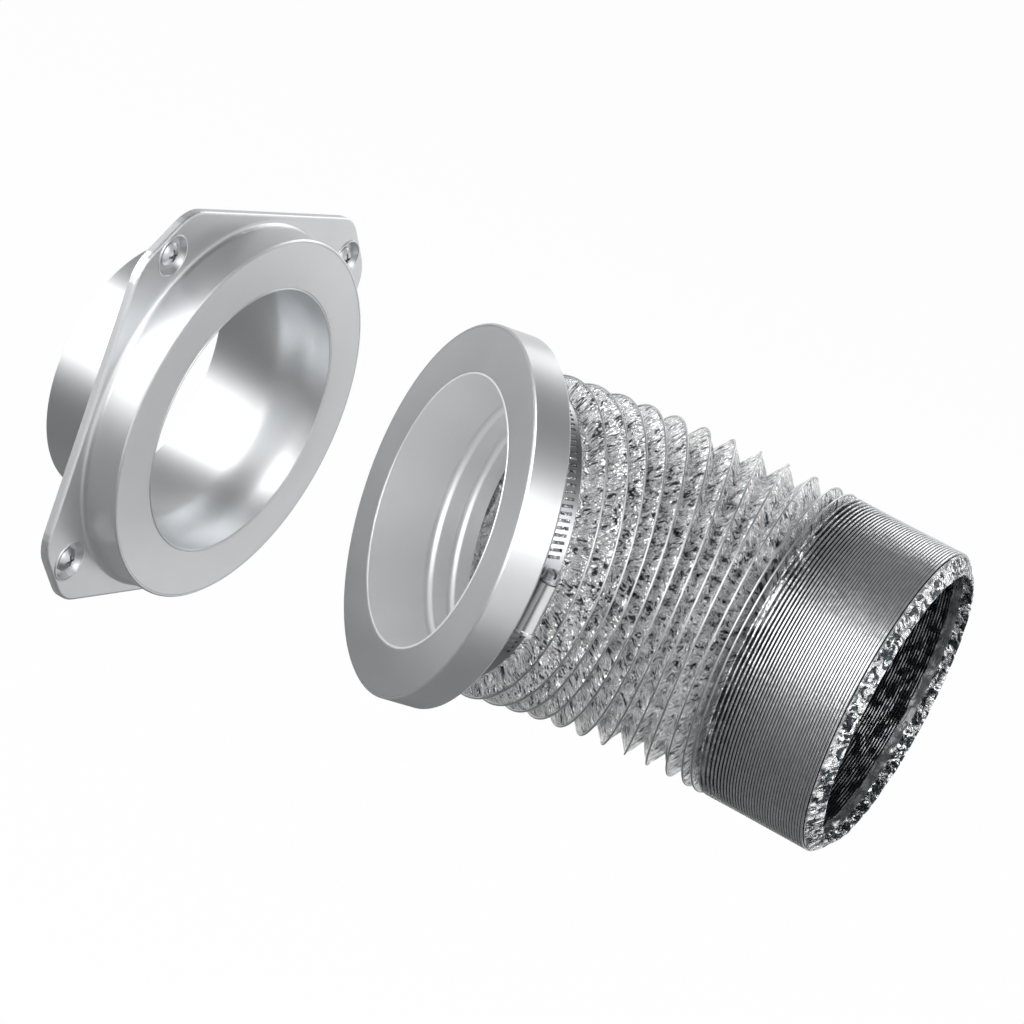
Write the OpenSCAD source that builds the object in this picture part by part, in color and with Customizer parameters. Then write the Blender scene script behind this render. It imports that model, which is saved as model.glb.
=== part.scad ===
// Flexible foil air duct with a magnetic quick-connect flange, for a 100 mm vent.
// The wall half is screwed to the wall. The duct half docks on it face to face, and carries the
// foil duct under a worm-drive clamp. The far end of the foil is still gathered.
// Frame: X out of the wall, Z up, origin in the wall plane at the centre of the flange.

/* [Flange faces] */
// Radius of both flange faces
face_r = 69; // [60:0.5:90]
// Radius of both flange bores
bore_r = 50; // [40:0.5:60]
// Thickness of each face disc
face_t = 1.5; // [1:0.1:3]
// Sheet thickness of the pressings
sheet = 1; // [0.6:0.1:2]
// Bevel round the outer edge of each face
bevel = 0.5; // [0.2:0.1:1]

/* [Wall plate] */
// Distance of the docking face from the wall
face_x = 17; // [10:0.5:30]
// Half of the plate's width and height
plate_half = 72.6; // [70:0.2:100]
// Distance from the centre to each cut corner
corner_reach = 88.5; // [80:0.5:120]
// Radius that rounds the plate's eight corners
corner_r = 16; // [5:1:30]
// Depth of the pressed pan
pan_depth = 3; // [2:0.5:6]
// Fillet between the plate and its rim
rim_fillet = 2; // [1:0.5:4]

/* [Wall screws] */
// Offset of each screw along Y and along Z
screw_reach = 56.5; // [50:0.5:80]
// Radius of the screw shank
shank_r = 1.95; // [1.5:0.05:3]
// Radius of the screw's neck, in the plate
neck_r = 2.4; // [2.2:0.05:3.5]
// Length of each screw under its head
screw_length = 5; // [4:0.5:50]
// Radius of the pan head
head_r = 4.4; // [3:0.1:6]
// Radius of the dimple's mouth
dimple_r = 7; // [5:0.1:10]

/* [Wall spigot] */
// Outside radius of the spigot
spigot_r = 48.5; // [40:0.1:60]
// Reach of the spigot behind the wall plane
spigot_reach = 32; // [20:1:80]
// Wall of the spigot and of the collar
tube_wall = 0.8; // [0.5:0.1:2]

/* [Duct collar] */
// Depth of the duct half's rim
rim_depth = 14.4; // [8:0.2:30]
// Length of the collar from the face
collar_length = 42; // [30:1:80]
// Distance of the first bead from the face
bead_at = 25; // [18:0.5:40]
// Distance between the two beads
bead_step = 9.5; // [6:0.5:20]
// Height of each bead
bead_rise = 0.9; // [0.5:0.1:2]

/* [Magnets] */
// Number of magnets behind each face
magnets = 8; // [4:1:16]
// Radius of each disc magnet
magnet_r = 6; // [3:0.5:8]
// Thickness of each disc magnet
magnet_t = 4; // [2:0.5:8]

/* [Worm clamp] */
// Distance of the band's centre from the face
clamp_at = 22.5; // [18:0.5:40]
// Width of the band
band_width = 9; // [6:0.5:14]
// Inside radius of the closed band
band_r = 54; // [50:0.1:65]
// Thickness of the band
band_t = 0.7; // [0.4:0.1:1.2]
// Distance from slot to slot
slot_pitch = 2.6; // [1.5:0.1:4]
// Place of the housing round the collar
housing_at = 189.5; // [0:0.5:360]
// Length of the housing
housing_length = 20; // [12:1:30]
// Radius of the worm
worm_r = 2.5; // [1.5:0.1:4]

/* [Foil duct] */
// Radius of the foil on its crests
crest_r = 59.5; // [50:0.1:80]
// Radius of the foil in its valleys
valley_r = 52.9; // [45:0.1:75]
// Thickness of the foil wall, measured across the axis
foil_t = 0.8; // [0.4:0.1:2]
// Turns of the corrugation that are pulled open
turns = 12; // [8:4:24]
// Pitch of the open corrugation
pitch = 10.1; // [4:0.5:16]
// Sides of one turn
sides = 32; // [16:8:48]
// Radius of the steel wire on the crests
wire_r = 0.35; // [0.3:0.05:1]

/* [Gathered end] */
// Ridges that are still gathered
ridges = 36; // [28:1:80]
// Pitch of the tight ridges
ridge_pitch = 1.07; // [0.8:0.01:3]
// Radius of the gathered ridges
ridge_r = 59.6; // [56:0.1:80]
// Bore of the gathered end
end_bore_r = 51; // [45:0.1:60]
// Reach of the free end's lip past the last ridge
lip_reach = 4.8; // [2:0.2:8]
// Radius to which the lip draws in
lip_r = 53.5; // [52:0.1:58]

/* [Open position] */
// Angle between the two halves
open_angle = 49.5; // [0:0.5:90]
// Slope of the duct's plane round X
plane_tilt = -4.65; // [-10:0.05:10]
// Centre of the duct half's face from the centre of the wall half's
open_at = [70.6, 25.3, -1.8]; // [-200:0.1:200]
// Straight run of the duct behind its face
straight_run = 39.8; // [30:0.1:200]
// Radius of the duct's bend
bend_r = 127; // [70:1:300]
// Angle of the gathered end, in the duct's plane
end_angle = 4; // [0:0.1:20]
// Drop of the centre line from the bend to the gathered end
sag = 1.6; // [0:0.1:5]

/* [Part] */
// Piece to draw

/* [Hidden] */
$fn = 96;
thin = 0.01;

cavity_r = face_r - sheet;
magnet_ring_r = (bore_r + tube_wall + cavity_r) / 2;
keeper_t = 2;

section_turns = turns / 4;
section_rows = 2 * section_turns;
// where the foil leaves the cuff, and where the gathered end begins
cuff_end = 28.5;
first_crest = 33.6;
full_turns = turns - 2.5;
gather_start = 141;
// share of a turn over which a crest grows from nothing, and where the wire starts on it
grow = 0.3;
wire_start = 0.125;

slot_angle = slot_pitch / (band_r + 1.5 * band_t) * 180 / PI;
slot_width = 1.2;
slot_length = 6;
slot_slant = 9;
band_slots = 25;
tail_slots = 15;
tail_gap = 0.15;
tail_width = band_width - 0.6;
tail_r = band_r + band_t + tail_gap;
tail_from = 176;
tail_to = 217;
worm_at = tail_r + band_t + 0.3 + worm_r;
barrel_r = worm_r + 1.3;

// Z of a revolve or extrusion becomes X
module on_axis() rotate([0, 90, 0]) children();

// the duct's plane, with its origin at the centre of the duct half's face
module duct_plane() {
    translate([face_x, 0, 0]) rotate([plane_tilt, 0, 0]) translate(open_at) children();
}

// X along the axis of the duct half, away from its face
module duct_half() duct_plane() rotate([0, 0, open_angle]) children();

// X outwards, Y round the collar and Z along its axis, at an angle counted from level to up
module round_collar(angle) duct_half() on_axis() rotate([0, 0, angle + 90]) children();

// ---- wall half ----

// rounded, cut-cornered outline of the plate as eight pucks with a rounded top edge
module pan_body(half, reach, r, h, edge) {
    flat = half - r;
    cut = (reach - r) * sqrt(2) - flat;
    hull()
        for (side = [0 : 3], end = [-1, 1])
            rotate([90 * side, 0, 0]) translate([0, end * cut, flat]) on_axis()
                rotate_extrude($fn = 40)
                    union() {
                        square([r, h - edge]);
                        square([r - edge, h]);
                        translate([r - edge, h - edge]) intersection() {
                            circle(edge, $fn = 16);
                            square(edge);
                        }
                    }
}

module at_screws()
    for (y = [-1, 1], z = [-1, 1])
        translate([0, y * screw_reach, z * screw_reach]) on_axis() children();

module wall_plate() color("silver") difference() {
    union() {
        difference() {
            pan_body(plate_half, corner_reach, corner_r, pan_depth, 0.9);
            translate([-thin, 0, 0])
                pan_body(plate_half - sheet, corner_reach - sheet, corner_r - sheet, pan_depth - sheet, 0.4);
        }
        // rim with its fillet, and the turned-in edge under the face disc
        on_axis() rotate_extrude()
            difference() {
                polygon([
                    [cavity_r, 0], [cavity_r + sheet, 0], [cavity_r + sheet, pan_depth - sheet],
                    [face_r + rim_fillet, pan_depth - sheet], [face_r + rim_fillet, pan_depth],
                    [face_r, pan_depth + rim_fillet], [face_r, face_x - bevel],
                    [face_r - bevel, face_x], [cavity_r, face_x]]);
                translate([face_r + rim_fillet, pan_depth + rim_fillet]) circle(rim_fillet);
            }
        on_axis() rotate_extrude() translate([cavity_r - 2, face_x - face_t - sheet]) square([2.2, sheet]);
        // seats of the screws, with a raised lip
        at_screws() cylinder(r = dimple_r + 0.8, h = pan_depth - 0.1);
        at_screws() translate([0, 0, pan_depth])
            rotate_extrude() translate([dimple_r + 0.35, 0]) circle(0.4, $fn = 20);
    }
    on_axis() translate([0, 0, -1]) cylinder(r = cavity_r - 2, h = face_x + 2);
    on_axis() translate([0, 0, -1]) cylinder(r = cavity_r, h = face_x - face_t - sheet + 1);
    on_axis() translate([0, 0, face_x - face_t]) cylinder(r = cavity_r, h = face_t + 1);
    at_screws() translate([0, 0, sheet])
        cylinder(r1 = dimple_r - 1, r2 = dimple_r, h = pan_depth - sheet + thin);
    at_screws() translate([0, 0, pan_depth]) cylinder(r = dimple_r, h = 2);
    at_screws() translate([0, 0, -1]) cylinder(r = neck_r + 0.1, h = 4);
}

module face_disc(inner_r, outer_r) rotate_extrude()
    polygon([[inner_r, 0], [outer_r, 0], [outer_r, face_t - 0.2], [outer_r - 0.2, face_t],
        [inner_r + 0.3, face_t], [inner_r, face_t - 0.3]]);

module wall_face() color("gainsboro")
    translate([face_x - face_t, 0, 0]) on_axis() face_disc(bore_r + tube_wall, cavity_r);

// outside of the funnel that narrows in a smooth curve from the face to the spigot
function funnel_r(x) = spigot_r
    + (bore_r + tube_wall - spigot_r) * (1 - cos(180 * min(max(x + 6, 0), face_x) / face_x)) / 2;

module wall_spigot() color("lightgray") on_axis() rotate_extrude() polygon(concat(
    [[spigot_r - tube_wall, -spigot_reach], [spigot_r, -spigot_reach]],
    [for (i = [0 : 12]) let (x = -6 + i * face_x / 12) [funnel_r(x), x]],
    [[bore_r + tube_wall, face_x - 0.2], [bore_r + tube_wall - 0.2, face_x], [bore_r + 0.2, face_x],
        [bore_r, face_x - 0.2]],
    [for (i = [12 : -1 : 0]) let (x = -6 + i * face_x / 12) [funnel_r(x) - tube_wall, x]]));

module magnet_circle(z)
    for (i = [0 : magnets - 1])
        rotate([0, 0, (i + 0.5) * 360 / magnets]) translate([magnet_ring_r, 0, z])
            cylinder(r = magnet_r, h = magnet_t);

module wall_magnets() color("dimgray")
    on_axis() magnet_circle(face_x - face_t - magnet_t);

module mounting_screws() color("gray") at_screws() {
    difference() {
        translate([0, 0, sheet]) rotate_extrude()
            intersection() {
                square([head_r, 2.6]);
                translate([0, -4.2]) circle(6.8);
            }
        // cross recess
        translate([0, 0, sheet + 1.1])
            for (a = [0, 90]) rotate([0, 0, a + 20]) translate([-2.3, -0.5, 0]) cube([4.6, 1, 3]);
    }
    // neck that fills the plate's hole
    cylinder(r = neck_r, h = sheet);
    shank = screw_length - sheet;
    translate([0, 0, -shank]) rotate_extrude()
        polygon([[0, 0], [0.4, 0], [shank_r, 1.5], [shank_r, shank], [0, shank]]);
}

// ---- duct half ----

// cup that closes the back of the duct half, with its outer edge rolled over the face disc
module duct_rim() color("silver") duct_half() on_axis() rotate_extrude()
    difference() {
        polygon([
            [cavity_r, 0], [face_r - bevel, 0], [face_r, bevel], [face_r, rim_depth - 1],
            [face_r - 1, rim_depth], [bore_r + tube_wall, rim_depth],
            [bore_r + tube_wall, rim_depth - sheet], [cavity_r, rim_depth - sheet]]);
        translate([face_r, rim_depth]) rotate(45) square(0.4, center = true);
    }

module duct_face() color("gainsboro")
    duct_half() translate([face_t, 0, 0]) rotate([0, 180, 0]) on_axis()
        face_disc(bore_r + tube_wall, cavity_r);

module duct_keeper() color("dimgray") duct_half() on_axis() difference() {
    translate([0, 0, face_t]) cylinder(r = cavity_r - 1.5, h = keeper_t);
    translate([0, 0, face_t - 1]) cylinder(r = bore_r + tube_wall + 2, h = keeper_t + 2);
}

// outline of the collar's wall at radius r, with its two rolled beads
bead_half = 2.2;
function beaded(r) = [for (k = [0, 1], i = [-6 : 6])
    [r + bead_rise * (1 + cos(30 * i)) / 2, bead_at + k * bead_step + i * bead_half / 6]];

module duct_collar() color("lightgray") duct_half() on_axis() rotate_extrude() polygon(concat(
    [[bore_r + 0.2, 0], [bore_r + tube_wall - 0.2, 0], [bore_r + tube_wall, 0.2]],
    beaded(bore_r + tube_wall),
    [[bore_r + tube_wall, collar_length], [bore_r, collar_length]],
    [let (b = beaded(bore_r)) for (i = [len(b) - 1 : -1 : 0]) b[i]],
    [[bore_r, 0.2]]));

// ---- worm-drive clamp ----

// one slanted slot through a strip that starts at radius r
module band_slot(r)
    translate([r + band_t / 2, 0, clamp_at]) rotate([slot_slant, 0, 0])
        cube([4 * band_t, slot_width, slot_length], center = true);

module clamp_band() color("silver") difference() {
    duct_half() on_axis() translate([0, 0, clamp_at - band_width / 2]) rotate_extrude()
        translate([band_r, 0]) square([band_t, band_width]);
    for (i = [0 : band_slots - 1]) round_collar(172 - i * slot_angle) band_slot(band_r);
}

module clamp_tail() color("silver") difference() {
    round_collar(tail_from) translate([0, 0, clamp_at - tail_width / 2])
        rotate_extrude(angle = tail_to - tail_from) translate([tail_r, 0]) square([band_t, tail_width]);
    for (i = [0 : tail_slots - 2]) round_collar(tail_from + (i + 0.7) * slot_angle) band_slot(tail_r);
}

// straight half-round barrel on a channel that straddles both layers of the band
module clamp_housing() color("lightsteelblue") {
    half = band_width / 2;
    wall = 0.6;
    roof = tail_r + band_t + 0.3;
    round_collar(housing_at) difference() {
        union() {
            translate([worm_at, housing_length / 2, clamp_at]) rotate([90, 0, 0])
                cylinder(r = barrel_r, h = housing_length);
            translate([roof, -housing_length / 2, clamp_at - barrel_r])
                cube([worm_at - roof, housing_length, 2 * barrel_r]);
            translate([band_r + 0.3, -housing_length / 2 + 2, clamp_at - half - wall])
                cube([roof + wall - band_r - 0.3, housing_length - 4, 2 * (half + wall)]);
            // turned lip at the end where the tail comes out
            translate([worm_at, housing_length / 2, clamp_at]) rotate([90, 0, 0])
                cylinder(r = barrel_r + 0.4, h = 1);
        }
        translate([worm_at, housing_length / 2 - 1.2, clamp_at]) rotate([90, 0, 0])
            cylinder(r = worm_r + 0.6, h = housing_length);
        translate([0, -housing_length, clamp_at - half]) cube([roof, 2 * housing_length, 2 * half]);
        translate([0, -housing_length, clamp_at - worm_r - 0.6])
            cube([worm_at, 2 * housing_length - housing_length / 2 - 1.2, 2 * worm_r + 1.2]);
        translate([worm_at - barrel_r - 2, -housing_length, clamp_at - barrel_r - 3])
            cube([roof - worm_at + barrel_r + 2, 2 * housing_length, 3 + barrel_r - half - wall]);
    }
}

module clamp_screw() color("gray")
    round_collar(housing_at) translate([worm_at, 0, clamp_at]) rotate([90, 0, 0]) difference() {
        union() {
            translate([0, 0, -housing_length / 2 + 1.6]) cylinder(r = worm_r, h = housing_length - 1.2);
            translate([0, 0, housing_length / 2 + 0.3]) cylinder(r = 3.3, h = 0.7);
            translate([0, 0, housing_length / 2 + 1]) cylinder(r = 2.9, h = 2.6);
            translate([0, 0, housing_length / 2 + 3.6]) cylinder(r1 = 2.9, r2 = 2.3, h = 0.6);
        }
        translate([-4, -0.5, housing_length / 2 + 2.4]) cube([8, 1, 4]);
    }

// ---- foil duct ----

// the foil squeezed under the band, with the small folds that the band leaves
module foil_cuff() color("lightgray") {
    inner = valley_r - foil_t;
    start = rim_depth + 0.6;
    from = clamp_at - band_width / 2 - 0.5;
    to = clamp_at + band_width / 2 + 0.5;
    duct_half() on_axis() rotate_extrude() polygon(concat(
        [[inner, start], [valley_r + 0.3, start]],
        [for (i = [0 : 3])
            [valley_r + (i % 2 == 0 ? 1.4 : 0.6), start + 0.5 + i * (from - start - 0.8) / 3]],
        [[band_r - 0.1, from], [band_r - 0.1, to], [valley_r, cuff_end], [inner, cuff_end]]));
}

// direction of the duct's centre line, and its place in the duct's plane, at a length from the face
bend_end = straight_run + bend_r * (open_angle - end_angle) * PI / 180;
function run_angle(s) = open_angle - max(0, min(s, bend_end) - straight_run) / bend_r * 180 / PI;
function run_at(s) = let (a = run_angle(s))
    min(s, straight_run) * [cos(open_angle), sin(open_angle)]
    + bend_r * [sin(open_angle) - sin(a), cos(a) - cos(open_angle)]
    + max(0, s - bend_end) * [cos(end_angle), sin(end_angle)];

// how far the centre line has sagged at a length, and its slope there
sag_run = gather_start - straight_run;
function sag_at(s) = let (u = min(max(s - straight_run, 0), sag_run))
    sag * u * u / (sag_run * sag_run) + max(0, s - gather_start) * tan(slope_at(s));
function slope_at(s) = atan(2 * sag * min(max(s - straight_run, 0), sag_run) / (sag_run * sag_run));

// point at length s, radius r and angle f round the duct
function skin(s, r, f) = let (p = run_at(s), a = run_angle(s), lean = sin(slope_at(s)))
    [p.x - r * cos(f) * sin(a) + r * sin(f) * lean * cos(a),
     p.y + r * cos(f) * cos(a) + r * sin(f) * lean * sin(a),
     r * sin(f) * cos(slope_at(s)) - sag_at(s)];

// length from the face at which turn t of the corrugation has its crest; the turns close up
// towards both ends
function crest_at(t) = let (before = max(0.5 - t, 0), past = max(t - full_turns, 0))
    first_crest + pitch * max(t - 0.5, 0) - 8.6 * before + 4.1 * before * before - 1.6 * past * past;

// share of a turn gained up to angle f: most of the lead lies on the far side, round f = 0
function lead(f) = f / 360 + 0.25 * sin(f) + 0.05 * sin(2 * f);

function ease(u) = let (v = min(max(u, 0), 1)) v * v * (3 - 2 * v);
function crest_rise(t) = (crest_r - valley_r) * ease(t / grow) * ease((turns - t) / grow);

// row h of the corrugation: even rows are valleys and odd rows are crests
function row_point(h, f, depth) = let (t = (h - 1) / 2 + lead(f))
    skin(crest_at(t), valley_r - depth + (h % 2 == 1 ? crest_rise(t) : 0), f);

// Corrugated skin of rows h0 to h1, wound as one strip: the end of each row is the start of the
// row two further on. A section starts and ends along its valley, where the next one meets it.
// A section with a flat start or end gets a plain ring there.
module foil_section(h0, h1, flat_start = undef, flat_end = undef) {
    n = sides;
    rows = h1 - h0 + 1;
    per_skin = rows * n + 2 + 2 * n;
    last = rows * n;
    ring = last + 2;
    points = [for (depth = [0, foil_t])
        each concat(
            [for (h = [h0 : h1], j = [0 : n - 1]) row_point(h, j * 360 / n, depth)],
            [row_point(h1 - 1, 360, depth), row_point(h1, 360, depth)],
            [for (s = [flat_start, flat_end], j = [0 : n - 1])
                skin(is_undef(s) ? 0 : s, valley_r - depth, j * 360 / n)])];
    function id(h, j) = j < n ? (h - h0) * n + j
        : h + 2 <= h1 ? (h + 2 - h0) * n
        : last + h - h1 + 1;
    function start_id(j) = ring + j % n;
    function end_id(j) = ring + n + j % n;
    function quad(a, b, c, d) = [[a, b, c], [a, c, d]];
    function flip(f) = [f[0] + per_skin, f[2] + per_skin, f[1] + per_skin];
    function wall(a, b) = quad(a, a + per_skin, b + per_skin, b);
    function far_wall(a, b) = [[a, a + per_skin, b], [a + per_skin, b + per_skin, b]];
    strips = [for (h = [h0 : h1 - 1], j = [0 : n - 1])
        each quad(id(h, j), id(h + 1, j), id(h + 1, j + 1), id(h, j + 1))];
    start_strip = is_undef(flat_start) ? [] : concat(
        [for (j = [0 : n - 2]) each quad(start_id(j), id(h0, j), id(h0, j + 1), start_id(j + 1))],
        let (q = id(h0, n - 1)) [[start_id(n - 1), q, start_id(0)], [start_id(0), q, id(h0, 0)],
            [id(h0, 0), q, id(h0 + 1, 0)], [id(h0 + 1, 0), q, id(h0 + 2, 0)]]);
    end_strip = is_undef(flat_end) ? [] : concat(
        [for (j = [1 : n - 1]) each quad(id(h1, j), end_id(j), end_id(j + 1), id(h1, j + 1))],
        let (q = id(h1, 1)) [[id(h1, 0), id(h1 - 1, n), q], [id(h1 - 1, n), id(h1, n), q],
            [id(h1, n), end_id(0), q], [end_id(0), end_id(1), q]]);
    outer = concat(strips, start_strip, end_strip);
    start_walls = is_undef(flat_start)
        ? concat([for (j = [0 : n - 1]) each wall(id(h0, j + 1), id(h0, j))],
            wall(id(h0, 0), id(h0 + 1, 0)), wall(id(h0 + 1, 0), id(h0 + 2, 0)))
        : [for (j = [0 : n - 1]) each wall(start_id(j + 1), start_id(j))];
    end_walls = is_undef(flat_end)
        ? concat([for (j = [0 : n - 1]) each far_wall(id(h1, j), id(h1, j + 1))],
            far_wall(id(h1 - 1, n), id(h1, 0)), far_wall(id(h1, n), id(h1 - 1, n)))
        : [for (j = [0 : n - 1]) each far_wall(end_id(j), end_id(j + 1))];
    used = concat(outer, [for (f = outer) flip(f)], start_walls, end_walls);
    duct_plane() polyhedron(points, used, convexity = 10);
}

module foil_section_1() color("gainsboro") foil_section(0, section_rows, flat_start = cuff_end);
module foil_section_2() color("gainsboro") foil_section(section_rows, 2 * section_rows);
module foil_section_3() color("gainsboro") foil_section(2 * section_rows, 3 * section_rows);
module foil_section_4() color("gainsboro")
    foil_section(3 * section_rows, 4 * section_rows, flat_end = gather_start);

// steel wire that rides the crest, and the least gap between its neighbouring loops
function wire_turn(k) = floor(k) + lead(360 * (k - floor(k)));
function wire_point(k) = let (t = wire_turn(k))
    skin(crest_at(t), valley_r + crest_rise(t) + 0.1 + wire_r, 360 * k);
function wire_gap(t0, t1) = min([for (k = [0 : (t1 - t0 - 1) * sides])
    norm(wire_point(t0 + k / sides) - wire_point(t0 + k / sides + 1)) - 2 * wire_r]);
echo(least_wire_gap = wire_gap(wire_start, turns - wire_start));

module wire_section(t0, t1) {
    k0 = round(t0 * sides);
    k1 = round(t1 * sides);
    points = [for (k = [k0 : k1]) let (
            p = wire_point(k / sides), d = wire_point((k + 0.5) / sides) - wire_point((k - 0.5) / sides),
            s = crest_at(wire_turn(k / sides)), f = 360 * k / sides, out = skin(s, 1, f) - skin(s, 0, f),
            along = d / norm(d), up = out - (out * along) * along, side = cross(along, up / norm(up)))
        for (i = [0 : 5]) p + wire_r * (cos(60 * i) * up / norm(up) + sin(60 * i) * side)];
    n = k1 - k0;
    duct_plane() polyhedron(points, concat(
        [[for (i = [0 : 5]) i], [for (i = [5 : -1 : 0]) 6 * n + i]],
        [for (k = [0 : n - 1], i = [0 : 5]) let (a = 6 * k + i, b = 6 * k + (i + 1) % 6)
            each [[a, b + 6, b], [a, a + 6, b + 6]]]), convexity = 10);
}

module wire_section_1() color("slategray") wire_section(wire_start, section_turns);
module wire_section_2() color("slategray") wire_section(section_turns, 2 * section_turns);
module wire_section_3() color("slategray") wire_section(2 * section_turns, 3 * section_turns);
module wire_section_4() color("slategray") wire_section(3 * section_turns, turns - wire_start);

// ---- gathered end ----

// the gathered ridges loosen towards the open turns
loose = 4.5;
function loosening(i) = exp(-i / loose);
function ridge_at(i) = gather_start + ridge_pitch * i + 0.85 * (1 - loosening(i)) / (1 - loosening(1));
function ridge_top(i) = ridge_r + 0.3 * loosening(i);
function ridge_depth(i) = 0.55 + 2.2 * loosening(i);

// ridges i0 to i1 round a plain bore, with a flat bead of foil over the wire on each ridge
module gathered(i0, i1, r, nose = []) {
    tail = len(nose) > 0 ? nose : [[r, ridge_at(i1)]];
    duct_plane() translate([run_at(gather_start).x, run_at(gather_start).y, -sag_at(gather_start)])
        rotate([0, slope_at(gather_start), end_angle]) on_axis() rotate_extrude()
        translate([0, -gather_start]) polygon(concat(
            [[r, ridge_at(i0)]],
            [for (i = [i0 : i1 - 1])
                let (top = ridge_top(i), m = (ridge_at(i) + ridge_at(i + 1)) / 2, w = ridge_pitch * 0.2)
                each [[top - ridge_depth(i), ridge_at(i)], [top, m - w], [top, m + w]]],
            [[ridge_top(i1) - ridge_depth(i1), ridge_at(i1)]],
            tail));
}

near_ridges = 11;
far_ridges = 15;

module gathered_near() color("gainsboro") gathered(0, near_ridges, end_bore_r + 0.8);
module gathered_middle() color("lightgray") gathered(near_ridges, ridges - far_ridges, end_bore_r + 0.8);

// the last ridges and the lip turned in round the open end
module gathered_far() color("gainsboro") {
    end = ridge_at(ridges);
    root_r = ridge_r - ridge_depth(ridges);
    gathered(ridges - far_ridges, ridges, end_bore_r, [
        [root_r - 0.5, end + 1], [lip_r + 0.6, end + lip_reach - 0.2], [lip_r, end + lip_reach],
        [lip_r - 0.7, end + lip_reach - 0.5], [end_bore_r, end + 1.5]]);
}

// ---- choice of piece ----

wall_plate();
wall_face();
wall_spigot();
wall_magnets();
mounting_screws();
duct_rim();
duct_face();
duct_keeper();
duct_collar();
clamp_band();
clamp_housing();
clamp_screw();
clamp_tail();
foil_cuff();
foil_section_1();
foil_section_2();
foil_section_3();
foil_section_4();
wire_section_1();
wire_section_2();
wire_section_3();
wire_section_4();
gathered_near();
gathered_middle();
gathered_far();
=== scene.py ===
import bpy
import math
import numpy as np
from mathutils import Matrix, Vector, noise


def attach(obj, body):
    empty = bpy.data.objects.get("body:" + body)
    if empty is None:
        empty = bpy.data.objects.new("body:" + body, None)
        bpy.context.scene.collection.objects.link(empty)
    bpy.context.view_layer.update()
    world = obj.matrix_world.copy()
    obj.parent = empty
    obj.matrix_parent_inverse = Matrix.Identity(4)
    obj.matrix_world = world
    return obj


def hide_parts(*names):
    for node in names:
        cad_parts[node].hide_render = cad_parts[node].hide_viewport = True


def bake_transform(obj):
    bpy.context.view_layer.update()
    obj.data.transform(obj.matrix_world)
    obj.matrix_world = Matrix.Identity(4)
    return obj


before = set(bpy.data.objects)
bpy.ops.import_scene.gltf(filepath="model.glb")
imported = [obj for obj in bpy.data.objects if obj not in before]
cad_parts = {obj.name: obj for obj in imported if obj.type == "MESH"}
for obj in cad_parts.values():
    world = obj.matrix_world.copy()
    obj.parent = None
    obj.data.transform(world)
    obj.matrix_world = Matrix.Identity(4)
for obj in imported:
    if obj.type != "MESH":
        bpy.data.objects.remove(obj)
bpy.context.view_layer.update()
print("frame loaded")


# in the dictionaries, lengths are in metres and angles in degrees
def deselectAll():
    if bpy.context.object and bpy.context.object.mode != "OBJECT":
        bpy.ops.object.mode_set(mode="OBJECT")
    bpy.ops.object.select_all(action="DESELECT")


def makeActive(piece):
    deselectAll()
    piece.select_set(True)
    bpy.context.view_layer.objects.active = piece


def addSheet(name, columns, rows):
    # a flat grid, with x and y from 0 to 1
    deselectAll()
    bpy.ops.mesh.primitive_grid_add(x_subdivisions=columns, y_subdivisions=rows, size=1,
                                    location=(0.5, 0.5, 0))
    piece = bpy.context.object
    bpy.ops.object.transform_apply(location=True)
    piece.name = name
    piece.data.name = name
    return piece


def readPoints(piece):
    points = np.zeros(len(piece.data.vertices) * 3, np.float32)
    piece.data.vertices.foreach_get("co", points)
    return points.reshape(-1, 3).astype(float)


def writePoints(piece, points):
    piece.data.vertices.foreach_set("co", points.astype(np.float32).ravel())
    piece.data.update()


def weld(piece, distance=0.000002):
    makeActive(piece)
    bpy.ops.object.mode_set(mode="EDIT")
    bpy.ops.mesh.select_all(action="SELECT")
    bpy.ops.mesh.remove_doubles(threshold=distance)
    bpy.ops.object.mode_set(mode="OBJECT")


def thicken(piece, thickness):
    makeActive(piece)
    wall = piece.modifiers.new("wall", "SOLIDIFY")
    wall.thickness = thickness
    wall.offset = -1
    wall.material_offset = 1
    bpy.ops.object.modifier_apply(modifier=wall.name)


def smoothShade(piece, angle=180):
    makeActive(piece)
    if angle >= 180:
        bpy.ops.object.shade_smooth()
    else:
        bpy.ops.object.shade_smooth_by_angle(angle=math.radians(angle))


def storeVector(piece, name, values):
    attribute = piece.data.attributes.new(name, "FLOAT_VECTOR", "POINT")
    attribute.data.foreach_set("vector", values.astype(np.float32).ravel())


def storeShare(piece, name, values):
    attribute = piece.data.attributes.new(name, "FLOAT", "POINT")
    attribute.data.foreach_set("value", values.astype(np.float32))


ductRun = {
    "faceDistance": 0.017,
    "planeTilt": -4.65,
    "openAt": (0.0706, 0.0253, -0.0018),
    "openAngle": 49.5,
    "straightRun": 0.0398,
    "bendRadius": 0.127,
    "endAngle": 4,
    "sag": 0.0016,
    "gatherStart": 0.141,
}


def ductPlane():
    run = ductRun
    return (Matrix.Translation((run["faceDistance"], 0, 0))
            @ Matrix.Rotation(math.radians(run["planeTilt"]), 4, "X")
            @ Matrix.Translation(run["openAt"]))


def toWorld(points):
    place = np.array(ductPlane())
    return points @ place[:3, :3].T + place[:3, 3]


def runHeading(s):
    run = ductRun
    turned = (s - run["straightRun"]) / run["bendRadius"]
    most = math.radians(run["openAngle"] - run["endAngle"])
    return math.radians(run["openAngle"]) - np.clip(turned, 0, most)


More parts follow.
